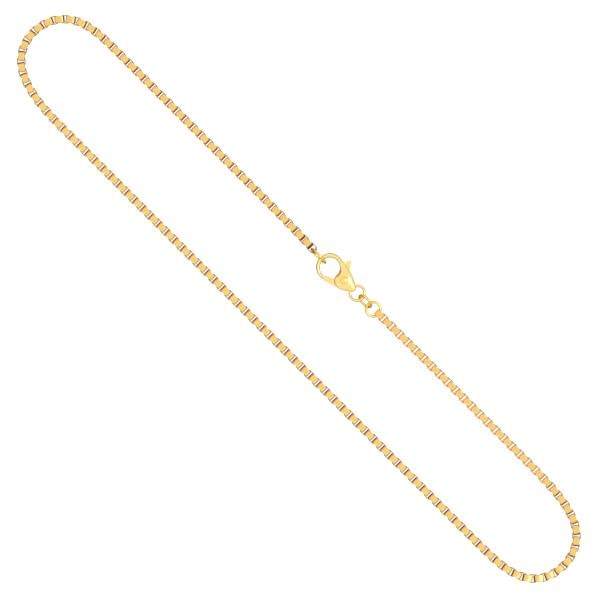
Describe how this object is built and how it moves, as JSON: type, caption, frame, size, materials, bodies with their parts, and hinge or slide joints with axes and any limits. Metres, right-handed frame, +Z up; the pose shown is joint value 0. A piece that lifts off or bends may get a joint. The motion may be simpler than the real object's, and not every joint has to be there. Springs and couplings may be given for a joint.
{
  "type": "box chain necklace",
  "caption": "Box chain necklace of square interlocked links, lying flat in a long closed loop, with round end rings and a lobster clasp whose sprung lever opens.",
  "frame": {"origin": "centre of the loop's own box, at the level of the surface that it lies on", "axes": "+X along the long strands, toward the end where the chain ring is; +Y across the loop, toward the clasp; +Z up from the surface"},
  "size_m": [0.2133, 0.032, 0.0059],
  "materials": {
    "chain_gold": "polished gold, flat strip",
    "ring_gold": "polished gold wire",
    "clasp_gold": "polished pale gold casting"
  },
  "bodies": {
    "necklace": {"chain_links": "chain_gold", "chain_run": "chain_gold", "end_ring": "ring_gold", "clasp_body": "clasp_gold", "clasp_rivet": "clasp_gold", "tail_ring": "ring_gold", "joining_ring": "ring_gold", "chain_ring": "ring_gold"},
    "lever": {"clasp_lever": "clasp_gold"}
  },
  "joints": [
    {"name": "lever_swing", "type": "hinge", "parent": "necklace", "child": "lever", "pos_m": [0.0053, 0.0108, 0.0019], "axis": [0, 0, 1], "range_deg": [-25, 0], "stiffness_Nm_per_rad": 0.004, "springref_deg": 8.59}
  ]
}
